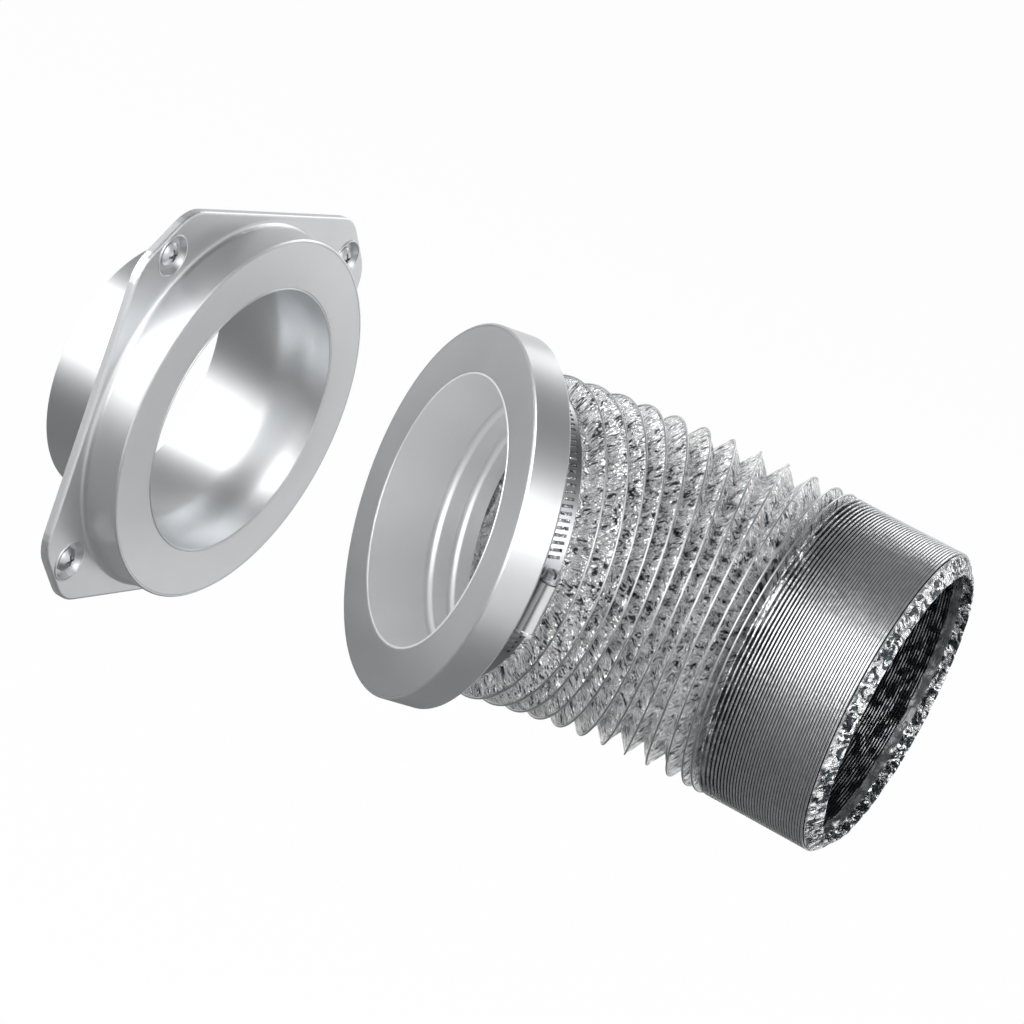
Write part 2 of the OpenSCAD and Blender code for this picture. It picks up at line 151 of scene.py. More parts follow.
def runPlace(s):
    run = ductRun
    start, end = math.radians(run["openAngle"]), math.radians(run["endAngle"])
    bendEnd = run["straightRun"] + run["bendRadius"] * (start - end)
    heading, bend = runHeading(s), run["bendRadius"]
    near, past = np.minimum(s, run["straightRun"]), np.maximum(s - bendEnd, 0)
    x = near * math.cos(start) + bend * (math.sin(start) - np.sin(heading)) + past * math.cos(end)
    y = near * math.sin(start) + bend * (np.cos(heading) - math.cos(start)) + past * math.sin(end)
    return x, y


def sagSlope(s):
    run = ductRun
    sagRun = run["gatherStart"] - run["straightRun"]
    return np.arctan(2 * run["sag"] * np.clip(s - run["straightRun"], 0, sagRun) / sagRun ** 2)


def sagAt(s):
    run = ductRun
    sagRun = run["gatherStart"] - run["straightRun"]
    share = np.clip((s - run["straightRun"]) / sagRun, 0, 1)
    return run["sag"] * share ** 2 + np.maximum(s - run["gatherStart"], 0) * np.tan(sagSlope(s))


def skinPoint(s, radius, angle):
    # s is the length along the duct; the angle runs from the far side over the top, in radians
    x, y = runPlace(s)
    heading, slope = runHeading(s), sagSlope(s)
    side, up = radius * np.cos(angle), radius * np.sin(angle)
    lean = up * np.sin(slope)
    local = np.stack([x - side * np.sin(heading) + lean * np.cos(heading),
                      y + side * np.cos(heading) + lean * np.sin(heading),
                      up * np.cos(slope) - sagAt(s)], axis=-1)
    return toWorld(local)


def ease(share):
    share = np.clip(share, 0, 1)
    return share * share * (3 - 2 * share)


foilForm = {
    "valleyRadius": 0.0529,
    "crestRadius": 0.0595,
    "crestRounding": 0.10,
    "crestWidth": 0.45,
    "turns": 12,
    "turnsPerSection": 3,
    "firstCrest": 0.0336,
    "pitch": 0.0101,
    "growTurns": 0.3,
    # the first half turn and the last turns lie closer
    "startClosing": 0.0086,
    "startEasing": 0.0041,
    "endClosing": 0.0016,
    "closingTurns": 2.5,
    # how unevenly a turn gains its lead
    "leadSwing": 0.25,
    "leadRipple": 0.05,
    "cuffEnd": 0.0285,
    "columns": 480,
    "rowsPerTurn": 24,
    "endRows": 8,
    "slopeStep": 0.01,
    "leastRun": 0.0002,
    "thickness": 0.00025,
    "smoothAngle": 75,
}


def crestPlace(turn):
    form = foilForm
    before = np.maximum(0.5 - turn, 0)
    past = np.maximum(turn - form["turns"] + form["closingTurns"], 0)
    closing = form["startClosing"] * before - form["startEasing"] * before ** 2 + form["endClosing"] * past ** 2
    return form["firstCrest"] + form["pitch"] * np.maximum(turn - 0.5, 0) - closing


def lead(angle):
    # share of a turn gained up to an angle; most of it lies on the far side
    swing = foilForm["leadSwing"] * np.sin(angle) + foilForm["leadRipple"] * np.sin(2 * angle)
    return angle / (2 * math.pi) + swing


def crestRise(turn):
    form = foilForm
    return ((form["crestRadius"] - form["valleyRadius"]) * ease(turn / form["growTurns"])
            * ease((form["turns"] - turn) / form["growTurns"]))


def waveHeight(rowTurn):
    # 1 on the crests, at whole turns, and 0 in the valleys between them
    fromCrest = np.abs(rowTurn - np.round(rowTurn)) * 2
    soft = foilForm["crestRounding"]
    rounded = (np.sqrt(fromCrest ** 2 + soft ** 2) - soft) / (math.sqrt(1 + soft ** 2) - soft)
    return 1 - rounded


crumpleForm = {
    "bigSize": 0.0065,
    "bigHeight": 0.00030,
    "creaseSize": 0.0036,
    "creaseHeight": 0.00045,
    "creaseLevel": 0.35,
    "streakSize": 0.0022,
    "streakHeight": 0.00034,
    "streakRun": 0.18,
    "streakFromTurn": 2.5,
    "streakTurns": 4,
    "streakLeast": 0.25,
    "streakStretch": 0.75,
    "streakCalm": 0.45,
    "crestShare": 0.12,
    "endCalm": 0.9,
    "readRadius": 0.056,
}


def unbentPlace(s, radius, angle):
    # the place on a straight duct, which patterns are read from so that the pieces meet
    return np.stack([s, radius * np.cos(angle), radius * np.sin(angle)], axis=-1)


def foldPlace(s, angle):
    # the crumples stretch into streaks past the first turns
    form = crumpleForm
    past = np.maximum(s - crestPlace(form["streakFromTurn"]), 0)
    return unbentPlace(s - (1 - form["streakStretch"]) * past, form["readRadius"], angle)


# where each noise is read from, so that no two are alike
noiseShift = {"big": 3.1, "crease": 11.7, "streak": 23.9, "sway": 41.3, "shut": 63.1, "lipCrumple": 7.7,
              "lipCrease": 17.7, "cuff": 5.5}


def noiseField(points, size, kind):
    shift = noiseShift[kind]
    offset = Vector((shift, shift * 0.37, -shift * 0.61))
    return np.array([noise.noise(Vector(point) / size + offset) for point in points])


def crumpleHeight(s, angle, radius, turn, calm):
    form = crumpleForm
    flat = unbentPlace(s, radius, angle)
    big = noiseField(flat, form["bigSize"], "big") * form["bigHeight"]
    crease = form["creaseLevel"] - np.abs(noiseField(flat, form["creaseSize"], "crease"))
    crease *= form["creaseHeight"]
    ring = unbentPlace(s * form["streakRun"], form["readRadius"], angle)
    streak = noiseField(ring, form["streakSize"], "streak") * form["streakHeight"]
    share = ease((turn - form["streakFromTurn"]) / form["streakTurns"])
    streakShare = form["streakLeast"] + (1 - form["streakLeast"]) * share
    return ((big + crease) * (1 - form["streakCalm"] * share) + streak * streakShare) * calm


def finishSkin(piece, outside, inside, form, node):
    # seams closed, two finishes, a wall, and the CAD node that it stands for
    weld(piece)
    piece.data.materials.append(finishes[outside])
    piece.data.materials.append(finishes[inside])
    thicken(piece, form["thickness"])
    smoothShade(piece, form["smoothAngle"])
    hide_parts(node)


def foilSection(number):
    form = foilForm
    turns, rows = form["turnsPerSection"], form["turnsPerSection"] * form["rowsPerTurn"]
    first, last = number == 1, number * turns == form["turns"]
    extra = form["endRows"] if first or last else 0
    piece = addSheet(f"foilSection{number}", form["columns"], rows + extra)
    grid = readPoints(piece)
    angle = grid[:, 0] * 2 * math.pi
    step = grid[:, 1] * (rows + extra) - (extra if first else 0)
    rowTurn = (number - 1) * turns - 0.5 + np.clip(step, 0, rows) / form["rowsPerTurn"]
    turn = rowTurn + lead(angle)
    # the outer rows run out to a plain ring at each end of the foil
    blend = np.clip(np.where(first, -step, step - rows) / max(extra, 1), 0, 1) * (extra > 0)
    endPlace = form["cuffEnd"] if first else ductRun["gatherStart"]
    s = crestPlace(turn) * (1 - blend) + endPlace * blend
    radius = form["valleyRadius"] + crestRise(turn) * waveHeight(rowTurn)
    fromCrest = np.abs(rowTurn - np.round(rowTurn)) * 2
    least = crumpleForm["crestShare"]
    calm = least + (1 - least) * ease(fromCrest / form["crestWidth"])
    calm *= 1 - crumpleForm["endCalm"] * ease(blend)
    height = crumpleHeight(s, angle, radius, turn, calm)
    # crumples stand square to the slope of the wave
    near = form["slopeStep"]
    rise = crestRise(turn) * (waveHeight(rowTurn + near) - waveHeight(rowTurn - near))
    run = crestPlace(turn + near) - crestPlace(turn - near)
    slope = np.arctan2(rise, np.maximum(run, form["leastRun"]))
    writePoints(piece, skinPoint(s - height * np.sin(slope), radius + height * np.cos(slope), angle))
    storeVector(piece, "foldPlace", foldPlace(s, angle))
    finishSkin(piece, "foil", "foilInsidePaintedLight", form, f"foil_section_{number}")
    return piece


wireForm = {
    "radius": 0.00035,
    "lift": 0.0001,
    "start": 0.125,
    "pointsPerTurn": 96,
    "roundness": 2,
    "smoothAngle": 50,
}


def crestWire(number):
    form = wireForm
    turns, perTurn = foilForm["turnsPerSection"], form["pointsPerTurn"]
    first = (number - 1) * turns if number > 1 else form["start"]
    last = number * turns if number * turns < foilForm["turns"] else foilForm["turns"] - form["start"]
    wound = np.linspace(first, last, int(round((last - first) * perTurn)) + 1)
    angle = (wound % 1) * 2 * math.pi
    turn = np.floor(wound) + lead(angle)
    radius = foilForm["valleyRadius"] + crestRise(turn) + form["lift"] + form["radius"]
    path = skinPoint(crestPlace(turn), radius, angle)
    curve = bpy.data.curves.new(f"crestWire{number}", "CURVE")
    curve.dimensions = "3D"
    line = curve.splines.new("POLY")
    line.points.add(len(path) - 1)
    line.points.foreach_set("co", np.hstack([path, np.ones((len(path), 1))]).ravel())
    curve.bevel_depth = form["radius"]
    curve.bevel_resolution = form["roundness"]
    curve.use_fill_caps = True
    piece = bpy.data.objects.new(curve.name, curve)
    bpy.context.scene.collection.objects.link(piece)
    makeActive(piece)
    bpy.ops.object.convert(target="MESH")
    piece = bpy.context.object
    piece.data.materials.append(finishes["wireSteel"])
    smoothShade(piece, form["smoothAngle"])
    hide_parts(f"wire_section_{number}")
    return piece


gatherForm = {
    "ridges": 36,
    "nearRidges": 11,
    "farRidges": 15,
    "ridgePitch": 0.00107,
    "loosePitch": 0.00085,
    "looseRidges": 4.5,
    "ridgeRadius": 0.0596,
    "looseRise": 0.0003,
    "foldDepth": 0.0062,
    "tightGap": 0.13,
    "looseGap": 0.30,
    "gapRidges": 8,
    # share of half a gap, and how high the fold is there
    "foldRise": [(0.0, 0.0), (0.35, 0.012), (0.55, 0.10), (0.62, 0.55), (0.72, 0.90), (0.86, 0.975),
                 (1.1, 0.996)],
    "swaySize": 0.009,
    "sway": 0.00005,
    "looseSway": 0.0004,
    # some of the loose folds are pressed shut here and there
    "shutSize": 0.011,
    "shutContrast": 4,
    "shutLevel": 0.2,
    "shutMost": 0.92,
    "shutLoose": 1.6,
    "shutFrom": 0.0005,
    "shutEase": 0.0012,
    # how crumpled the finish is, and how much of it has painted reflections
    "ridgeCrumpleAndGlints": 0.05,
    "looseCrumpleAndGlints": 0.42,
    "readRadius": 0.058,
    "columns": 200,
    "thickness": 0.00018,
    "smoothAngle": 89,
}

lipForm = {
    "reach": 0.0048,
    "radius": 0.0535,
    "neckDrop": 0.0011,
    "shoulderDrop": 0.0006,
    "shoulderAt": 0.0004,
    "roundness": 1.15,
    "rings": 12,
    "turnedIn": 0.0001,
    "turnedDrop": 0.0004,
    "liningDepth": 0.008,
    "liningFrom": 0.0003,
    "liningDrop": 0.0008,
    "liningRise": 0.0006,
    "liningRings": 10,
    "settle": 0.0015,
    "crumpleUnder": 0.0007,
    "crumpleSize": 0.0038,
    "crumpleHeight": 0.0011,
    "creaseSize": 0.0062,
    "creaseHeight": 0.0012,
    "creaseLevel": 0.3,
    "liningEdge": 0.0002,
    "liningPaintedShade": 0.8,
}


def loosening(i):
    return np.exp(-i / gatherForm["looseRidges"])


def ridgePlace(i):
    form = gatherForm
    firstStep = 1 - math.exp(-1 / form["looseRidges"])
    opened = form["loosePitch"] * (1 - loosening(i)) / firstStep
    return ductRun["gatherStart"] + form["ridgePitch"] * i + opened


def gatheredRows(firstRidge, lastRidge):
    # (length, radius, liveliness) of each ring of the gathered skin
    form = gatherForm
    rows = []
    for ridge in range(firstRidge, lastRidge):
        start, end = ridgePlace(ridge), ridgePlace(ridge + 1)
        top = form["ridgeRadius"] + form["looseRise"] * loosening(ridge)
        gap = form["tightGap"] + form["looseGap"] * math.exp(-ridge / form["gapRidges"])
        profile = [(gap * share, height) for share, height in form["foldRise"]] + [(0.5, 1.0)]
        profile += [(1 - gap * share, height) for share, height in form["foldRise"][:0:-1]]
        rows += [(start + (end - start) * share, top - form["foldDepth"] * (1 - height), 1 - height)
                 for share, height in profile]
    return rows


def lipRows():
    form = lipForm
    end, top = ridgePlace(gatherForm["ridges"]), gatherForm["ridgeRadius"]
    tip, shoulder = end + form["reach"], top - form["shoulderDrop"]
    rows = [(end, top - form["neckDrop"], 0.2), (end + form["shoulderAt"], shoulder, 0.4)]
    for share in np.linspace(0.1, 1, form["rings"]):
        rows.append((end + (form["reach"] - 2 * form["turnedIn"]) * share,
                     shoulder - (shoulder - form["radius"]) * share ** form["roundness"], 1.0))
    rows.append((tip - form["turnedIn"], form["radius"] - form["turnedDrop"], 0.8))
    for share in np.linspace(0, 1, form["liningRings"]):
        rows.append((tip - form["liningFrom"] - form["liningDepth"] * share,
                     form["radius"] - form["liningDrop"] + form["liningRise"] * share, 1.0))
    return rows


def addRings(name, columns, rows):
    # a sheet with one row for each ring, and the ring's values for each of its points
    piece = addSheet(name, columns, len(rows) - 1)
    grid = readPoints(piece)
    row = np.round(grid[:, 1] * (len(rows) - 1)).astype(int)
    table = np.array(rows, float)
    return piece, grid[:, 0] * 2 * math.pi, *table[row].T


def gatheredPiece(name, node, rows):
    form, lip = gatherForm, lipForm
    piece, angle, s, radius, lively = addRings(name, form["columns"], rows)
    flat = unbentPlace(s, radius, angle)
    ring = unbentPlace(s * 0.5, form["readRadius"], angle)
    loose = loosening((s - ductRun["gatherStart"]) / form["ridgePitch"])
    sway = noiseField(ring, form["swaySize"], "sway") * (form["sway"] + form["looseSway"] * loose)
    shut = noiseField(ring, form["shutSize"], "shut") * form["shutContrast"] + form["shutLevel"]
    shut = np.clip(shut, 0, form["shutMost"]) * np.clip(loose * form["shutLoose"], 0, 1)
    shut *= ease((s - ductRun["gatherStart"] - form["shutFrom"]) / form["shutEase"])
    # the lip and the lining are crumpled
    endward = ease((s - ridgePlace(form["ridges"])) / lip["settle"])
    crumple = noiseField(flat, lip["crumpleSize"], "lipCrumple") * lip["crumpleHeight"]
    crease = lip["creaseLevel"] - np.abs(noiseField(flat, lip["creaseSize"], "lipCrease"))
    crumple += crease * lip["creaseHeight"]
    lined = np.clip(endward + (lively >= 1), 0, 1)
    offset = sway + crumple * lined * lively * (radius < form["ridgeRadius"] - lip["crumpleUnder"])
    offset += form["foldDepth"] * lively * shut * (endward == 0)
    writePoints(piece, skinPoint(s, radius + offset, angle))
    storeVector(piece, "foldPlace", flat)
    # on the inner lining the share is raised past 1, as painted shade there
    lining = radius < lip["radius"] - lip["liningEdge"]
    storeShare(piece, "crumpleAndGlintShare", np.maximum(endward * (1 + lip["liningPaintedShade"] * lining),
                                             form["ridgeCrumpleAndGlints"] + form["looseCrumpleAndGlints"] * loose))
    finishSkin(piece, "foldedFoil", "foldedInsidePaintedShade", form, node)
    return piece


cuffForm = {
    "start": 0.0150,
    "bandStart": 0.0175,
    "bandEnd": 0.0275,
    "bandRadius": 0.0538,
    "puckers": 7,
    "puckerHeights": (0.0004, 0.0012),
    "crumpleSize": 0.004,
    "crumpleHeight": 0.0006,
    "columns": 400,
    "thickness": 0.00025,
    "smoothAngle": 75,
}


def foilCuff():
    form = cuffForm
    valley = foilForm["valleyRadius"]
    low, high = form["puckerHeights"]
    rows = [(form["start"], valley, 0.0)]
    for i in range(1, form["puckers"]):
        share = i / form["puckers"]
        rows.append((form["start"] + (form["bandStart"] - form["start"]) * share,
                     valley + (high if i % 2 else low), 1.0))
    rows += [(form["bandStart"], form["bandRadius"], 0.0), (form["bandEnd"], form["bandRadius"], 0.0),
             (form["bandEnd"] + 0.0005, valley + 0.0003, 0.3), (foilForm["cuffEnd"], valley, 0.0)]
    piece, angle, s, radius, lively = addRings("foilCuff", form["columns"], rows)
    crumple = noiseField(unbentPlace(s, radius, angle), form["crumpleSize"], "cuff") * form["crumpleHeight"]
    writePoints(piece, skinPoint(s, radius + crumple * lively, angle))
    storeVector(piece, "foldPlace", foldPlace(s, angle))
    finishSkin(piece, "foil", "foilInsidePaintedLight", form, "foil_cuff")
    return piece


def addNode(tree, kind, values=None, **settings):
    # values fill the node's sockets, by name or number
    node = tree.nodes.new(kind)
    for key, setting in settings.items():
        setattr(node, key, setting)
    for socket, value in (values or {}).items():
        node.inputs[socket].default_value = value
    return node


def makeGroup(name, inputs, outputs):
    tree = bpy.data.node_groups.new(name, "ShaderNodeTree")
    for label, kind, value in inputs:
        socket = tree.interface.new_socket(name=label, in_out="INPUT", socket_type="NodeSocket" + kind)
        if value is not None:
            socket.default_value = value
    for label, kind in outputs:
        tree.interface.new_socket(name=label, in_out="OUTPUT", socket_type="NodeSocket" + kind)
    return tree, addNode(tree, "NodeGroupInput"), addNode(tree, "NodeGroupOutput")


def makeSatinGroup():
    # cloudy tone and grain of a satin metal
    tree, given, result = makeGroup("satinGrain", [
        ("Place", "Vector", None), ("Light Tint", "Color", (0.8, 0.8, 0.8, 1)),
        ("Dark Tint", "Color", (0.7, 0.7, 0.7, 1)), ("Cloud Size", "Float", 60.0),
        ("Grain Size", "Float", 2500.0), ("Smooth Rough", "Float", 0.25), ("Dull Rough", "Float", 0.4)],
        [("Color", "Color"), ("Roughness", "Float"), ("Height", "Float")])
    clouds = addNode(tree, "ShaderNodeTexNoise", {"Detail": 4})
    grain = addNode(tree, "ShaderNodeTexNoise", {"Detail": 2})
    tint = addNode(tree, "ShaderNodeMix", data_type="RGBA")
    rough = addNode(tree, "ShaderNodeMapRange")
    wire = tree.links.new
    wire(given.outputs["Place"], clouds.inputs["Vector"])
    wire(given.outputs["Cloud Size"], clouds.inputs["Scale"])
    wire(given.outputs["Place"], grain.inputs["Vector"])
    wire(given.outputs["Grain Size"], grain.inputs["Scale"])
    wire(clouds.outputs["Fac"], tint.inputs["Factor"])
    wire(given.outputs["Light Tint"], tint.inputs[6])
    wire(given.outputs["Dark Tint"], tint.inputs[7])
    wire(clouds.outputs["Fac"], rough.inputs["Value"])
    wire(given.outputs["Smooth Rough"], rough.inputs["To Min"])
    wire(given.outputs["Dull Rough"], rough.inputs["To Max"])
    wire(tint.outputs[2], result.inputs["Color"])
    wire(rough.outputs["Result"], result.inputs["Roughness"])
    wire(grain.outputs["Fac"], result.inputs["Height"])
    return tree


# the facets' tones are painted reflections: bright glints and dark facets and patches
facetLook = {
    "bendScale": 320,
    "bendAmount": 0.003,
    "softness": 0.12,
    "waveDistortion": 0.8,
    "patchDistortion": 1.2,
    "patchContrast": 4.5,
    "patchLevel": -1.75,
    "fineTone": 0.62,
    "darkFade": 0.28,
    "roughness": (0.08, 0.2),
}


def addFacets(tree, wire, place, scale):
    # height and tone of flat facets, each with its own tilt and tone; the tone is a painted reflection
    scaled = addNode(tree, "ShaderNodeVectorMath", operation="SCALE")
    cells = addNode(tree, "ShaderNodeTexVoronoi", {"Scale": 1}, feature="SMOOTH_F1")
    cells.inputs["Smoothness"].default_value = facetLook["softness"]
    away = addNode(tree, "ShaderNodeVectorMath", operation="SUBTRACT")
    tilt = addNode(tree, "ShaderNodeVectorMath", {1: (0.5, 0.5, 0.5)}, operation="SUBTRACT")
    height = addNode(tree, "ShaderNodeVectorMath", operation="DOT_PRODUCT")
    tone = addNode(tree, "ShaderNodeSeparateColor")
    wire(place, scaled.inputs[0])
    wire(scale, scaled.inputs["Scale"])
    wire(scaled.outputs["Vector"], cells.inputs["Vector"])
    wire(scaled.outputs["Vector"], away.inputs[0])
    wire(cells.outputs["Position"], away.inputs[1])
    wire(cells.outputs["Color"], tilt.inputs[0])
    wire(away.outputs["Vector"], height.inputs[0])
    wire(tilt.outputs["Vector"], height.inputs[1])
    wire(cells.outputs["Color"], tone.inputs["Color"])
    return height.outputs["Value"], tone.outputs["Red"]


def makeCrumpleGroup():
    # waves and two sizes of facets, as in crumpled foil, with painted reflections: bright and dark facet tones
    # and painted dark patches
    look = facetLook
    tree, given, result = makeGroup("crumpledFacetsPaintedReflections", [
        ("Place", "Vector", None), ("Facet Scale", "Float", 500.0), ("Fine Scale", "Float", 1400.0),
        ("Fine Share", "Float", 0.3), ("Wave Share", "Float", 0.9),
        ("Light Tint", "Color", (0.95, 0.95, 0.96, 1)), ("Dark Tint", "Color", (0.4, 0.42, 0.44, 1)),
        ("Dark Share", "Float", 0.5), ("Dark From", "Float", 0.5), ("Patch Share", "Float", 0.0)],
        [("Color", "Color"), ("Roughness", "Float"), ("Height", "Float")])
    wire = tree.links.new
    bend = addNode(tree, "ShaderNodeTexNoise", {"Scale": look["bendScale"]})
    shift = addNode(tree, "ShaderNodeVectorMath", {1: [look["bendAmount"]] * 3}, operation="MULTIPLY_ADD")
    wire(given.outputs["Place"], bend.inputs["Vector"])
    wire(bend.outputs["Color"], shift.inputs[0])
    wire(given.outputs["Place"], shift.inputs[2])
    bent = shift.outputs["Vector"]
    bigHeight, bigTone = addFacets(tree, wire, bent, given.outputs["Facet Scale"])
    fineHeight, fineTone = addFacets(tree, wire, bent, given.outputs["Fine Scale"])
    # height
    waves = addNode(tree, "ShaderNodeTexNoise", {"Detail": 2, "Distortion": look["waveDistortion"]})
    facets = addNode(tree, "ShaderNodeMath", operation="MULTIPLY_ADD")
    height = addNode(tree, "ShaderNodeMath", operation="MULTIPLY_ADD")
    wire(given.outputs["Place"], waves.inputs["Vector"])
    wire(given.outputs["Facet Scale"], waves.inputs["Scale"])
    wire(fineHeight, facets.inputs[0])
    wire(given.outputs["Fine Share"], facets.inputs[1])
    wire(bigHeight, facets.inputs[2])
    wire(waves.outputs["Fac"], height.inputs[0])
    wire(given.outputs["Wave Share"], height.inputs[1])
    wire(facets.outputs["Value"], height.inputs[2])
    wire(height.outputs["Value"], result.inputs["Height"])
    # tone: painted reflections, with some facets and patches painted dark and the rest as bright glints
    paintedDarkPatches = addNode(tree, "ShaderNodeTexNoise", {"Detail": 3, "Distortion": look["patchDistortion"]})
    strong = addNode(tree, "ShaderNodeMath", {1: look["patchContrast"], 2: look["patchLevel"]},
                     operation="MULTIPLY_ADD")
    facetPaintedTone = addNode(tree, "ShaderNodeMix", {"Factor": look["fineTone"]}, data_type="FLOAT")
    paintedReflectionLevel = addNode(tree, "ShaderNodeMix", data_type="FLOAT")
    darkTo = addNode(tree, "ShaderNodeMath", {1: look["darkFade"]}, operation="ADD")
    dark = addNode(tree, "ShaderNodeMapRange", interpolation_type="SMOOTHSTEP")
    tint = addNode(tree, "ShaderNodeMix", data_type="RGBA")
    wire(bent, paintedDarkPatches.inputs["Vector"])
    wire(given.outputs["Facet Scale"], paintedDarkPatches.inputs["Scale"])
    wire(paintedDarkPatches.outputs["Fac"], strong.inputs[0])
    wire(bigTone, facetPaintedTone.inputs["A"])
    wire(fineTone, facetPaintedTone.inputs["B"])
    wire(given.outputs["Patch Share"], paintedReflectionLevel.inputs["Factor"])
    wire(facetPaintedTone.outputs["Result"], paintedReflectionLevel.inputs["A"])
    wire(strong.outputs["Value"], paintedReflectionLevel.inputs["B"])
    wire(given.outputs["Dark From"], darkTo.inputs[0])
    wire(given.outputs["Dark From"], dark.inputs["From Min"])
    wire(darkTo.outputs["Value"], dark.inputs["From Max"])
    wire(paintedReflectionLevel.outputs["Result"], dark.inputs["Value"])
    wire(given.outputs["Dark Share"], dark.inputs["To Max"])
    wire(dark.outputs["Result"], tint.inputs["Factor"])
    wire(given.outputs["Light Tint"], tint.inputs[6])
    wire(given.outputs["Dark Tint"], tint.inputs[7])
    wire(tint.outputs[2], result.inputs["Color"])
    # gloss
    least, most = look["roughness"]
    rough = addNode(tree, "ShaderNodeMapRange", {"To Min": least, "To Max": most})
    wire(fineTone, rough.inputs["Value"])
    wire(rough.outputs["Result"], result.inputs["Roughness"])
    return tree


groups = {"satin": makeSatinGroup(), "crumple": makeCrumpleGroup()}


def newFinish(name, metallic=1.0):
    material = bpy.data.materials.new(name)
    material.use_nodes = True
    tree = material.node_tree
    shader = tree.nodes["Principled BSDF"]
    shader.inputs["Metallic"].default_value = metallic
    return material, tree, shader


def placeGroup(tree, group, **values):
    box = addNode(tree, "ShaderNodeGroup", node_tree=groups[group])
    for key, value in values.items():
        box.inputs[key.replace("_", " ")].default_value = value
    return box


def satinMetal(name, light, dark, rough, cloud=45.0, grain=2500.0, bump=0.02, metallic=1.0):
    material, tree, shader = newFinish(name, metallic)
    place = addNode(tree, "ShaderNodeTexCoord")
    skin = placeGroup(tree, "satin", Light_Tint=(*light, 1), Dark_Tint=(*dark, 1), Smooth_Rough=rough[0],
                      Dull_Rough=rough[1], Cloud_Size=cloud, Grain_Size=grain)
    relief = addNode(tree, "ShaderNodeBump", {"Strength": bump, "Distance": 0.0002})
    wire = tree.links.new
    wire(place.outputs["Object"], skin.inputs["Place"])
    wire(skin.outputs["Color"], shader.inputs["Base Color"])
    wire(skin.outputs["Roughness"], shader.inputs["Roughness"])
    wire(skin.outputs["Height"], relief.inputs["Height"])
    wire(relief.outputs["Normal"], shader.inputs["Normal"])
    return material


def crumpledMetal(name, light, dark, metallic, paintedDarkShare, paintedDarkFrom, paintedPatchShare, scales, relief,
                  plain=None, plainRough=0.3):
    # the light and dark tints paint the facets' reflections into the base colour
    material, tree, shader = newFinish(name, metallic)
    place = addNode(tree, "ShaderNodeAttribute", attribute_name="foldPlace")
    skin = placeGroup(tree, "crumple", Light_Tint=(*light, 1), Dark_Tint=(*dark, 1), Dark_Share=paintedDarkShare,
                      Dark_From=paintedDarkFrom, Patch_Share=paintedPatchShare, Facet_Scale=scales[0], Fine_Scale=scales[1])
    bump = addNode(tree, "ShaderNodeBump", {"Strength": 1.0, "Distance": relief})
    wire = tree.links.new
    color, rough = skin.outputs["Color"], skin.outputs["Roughness"]
    if plain:
        # plain where the share is 0, and crumpled with painted reflections where it is 1
        share = addNode(tree, "ShaderNodeAttribute", attribute_name="crumpleAndGlintShare")
        tint = addNode(tree, "ShaderNodeMix", {6: (*plain, 1)}, data_type="RGBA")
        dull = addNode(tree, "ShaderNodeMix", {"A": plainRough}, data_type="FLOAT")
        strength = addNode(tree, "ShaderNodeMapRange", {"To Min": 0.03})
        for node, socket in ((tint, "Factor"), (dull, "Factor"), (strength, "Value")):
            wire(share.outputs["Fac"], node.inputs[socket])
        wire(color, tint.inputs[7])
        wire(rough, dull.inputs["B"])
        wire(strength.outputs["Result"], bump.inputs["Strength"])
        color, rough = tint.outputs[2], dull.outputs["Result"]
    wire(place.outputs["Vector"], skin.inputs["Place"])
    wire(color, shader.inputs["Base Color"])
    wire(rough, shader.inputs["Roughness"])
    wire(skin.outputs["Height"], bump.inputs["Height"])
    wire(bump.outputs["Normal"], shader.inputs["Normal"])
    return material


